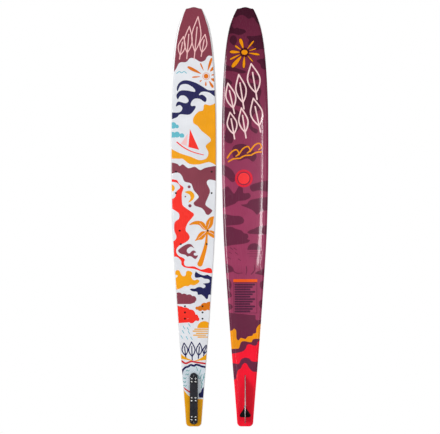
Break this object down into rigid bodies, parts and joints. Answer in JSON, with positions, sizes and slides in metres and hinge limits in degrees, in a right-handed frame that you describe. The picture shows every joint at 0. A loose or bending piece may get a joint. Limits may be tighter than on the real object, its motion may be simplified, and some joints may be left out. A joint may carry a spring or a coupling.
{
  "type": "water ski pair",
  "caption": "Pair of slalom water skis: long tapered boards with turned-up tips, hollow bases, and a fin with a wing clamped in a block at each tail.",
  "frame": {"origin": "middle of the pair at the height of the two tails: the bottom centre of the bounding box", "axes": "+Z from the tails to the tips; +X from the left ski to the right ski; the left ski's deck and the right ski's base face -Y"},
  "size_m": [0.362, 0.145, 1.549],
  "materials": {
    "deck_print": "printed gloss laminate",
    "base_print": "printed gloss laminate",
    "foam": "rigid foam",
    "plate": "as rolled",
    "block_black": "satin black",
    "stainless": "bright stainless steel",
    "fin_aluminium": "brushed and anodised",
    "wing_black": "satin black"
  },
  "bodies": {
    "left_ski": {"left_deck_skin": "deck_print", "left_base_skin": "base_print", "left_foam_core": "foam", "left_front_insert_plate": "plate", "left_mid_insert_plate": "plate", "left_rear_insert_plate": "plate", "left_fin_insert_plate": "plate", "left_block_screw_1": "stainless", "left_block_screw_2": "stainless", "left_block_screw_3": "stainless", "left_block_screw_4": "stainless", "left_block_screw_5": "stainless", "left_block_screw_6": "stainless", "left_block_screw_7": "stainless", "left_block_screw_8": "stainless", "left_block_screw_9": "stainless", "left_block_screw_10": "stainless", "left_block_screw_11": "stainless", "left_block_screw_12": "stainless"},
    "left_fin_block": {"left_fin_block_port": "block_black", "left_fin_block_starboard": "block_black", "left_clamp_screw_front": "stainless", "left_clamp_screw_rear": "stainless"},
    "left_fin": {"left_fin": "fin_aluminium"},
    "left_wing": {"left_wing_port": "wing_black", "left_wing_starboard": "wing_black", "left_wing_pivot_screw": "stainless", "left_wing_lock_screw": "stainless"},
    "right_ski": {"right_deck_skin": "deck_print", "right_base_skin": "base_print", "right_foam_core": "foam", "right_front_insert_plate": "plate", "right_mid_insert_plate": "plate", "right_rear_insert_plate": "plate", "right_fin_insert_plate": "plate", "right_block_screw_1": "stainless", "right_block_screw_2": "stainless", "right_block_screw_3": "stainless", "right_block_screw_4": "stainless", "right_block_screw_5": "stainless", "right_block_screw_6": "stainless", "right_block_screw_7": "stainless", "right_block_screw_8": "stainless", "right_block_screw_9": "stainless", "right_block_screw_10": "stainless", "right_block_screw_11": "stainless", "right_block_screw_12": "stainless"},
    "right_fin_block": {"right_fin_block_port": "block_black", "right_fin_block_starboard": "block_black", "right_clamp_screw_front": "stainless", "right_clamp_screw_rear": "stainless"},
    "right_fin": {"right_fin": "fin_aluminium"},
    "right_wing": {"right_wing_port": "wing_black", "right_wing_starboard": "wing_black", "right_wing_pivot_screw": "stainless", "right_wing_lock_screw": "stainless"}
  },
  "joints": [
    {"name": "right_ski_apart", "type": "slide", "parent": "left_ski", "child": "right_ski", "axis": [1, 0, 0], "range_m": [0, 0.3]},
    {"name": "left_fin_block_slide", "type": "slide", "parent": "left_ski", "child": "left_fin_block", "axis": [0, 0, 1], "range_m": [-0.005, 0.005]},
    {"name": "left_fin_depth_slide", "type": "slide", "parent": "left_fin_block", "child": "left_fin", "axis": [0, 1, 0], "range_m": [-0.003, 0.003]},
    {"name": "left_wing_hinge", "type": "hinge", "parent": "left_fin", "child": "left_wing", "pos_m": [-0.095, 0.0545, 0.072], "axis": [-1, 0, 0], "range_deg": [0, 12]},
    {"name": "right_fin_block_slide", "type": "slide", "parent": "right_ski", "child": "right_fin_block", "axis": [0, 0, 1], "range_m": [-0.005, 0.005]},
    {"name": "right_fin_depth_slide", "type": "slide", "parent": "right_fin_block", "child": "right_fin", "axis": [0, -1, 0], "range_m": [-0.003, 0.003]},
    {"name": "right_wing_hinge", "type": "hinge", "parent": "right_fin", "child": "right_wing", "pos_m": [0.095, -0.0545, 0.072], "axis": [1, 0, 0], "range_deg": [0, 12]}
  ]
}
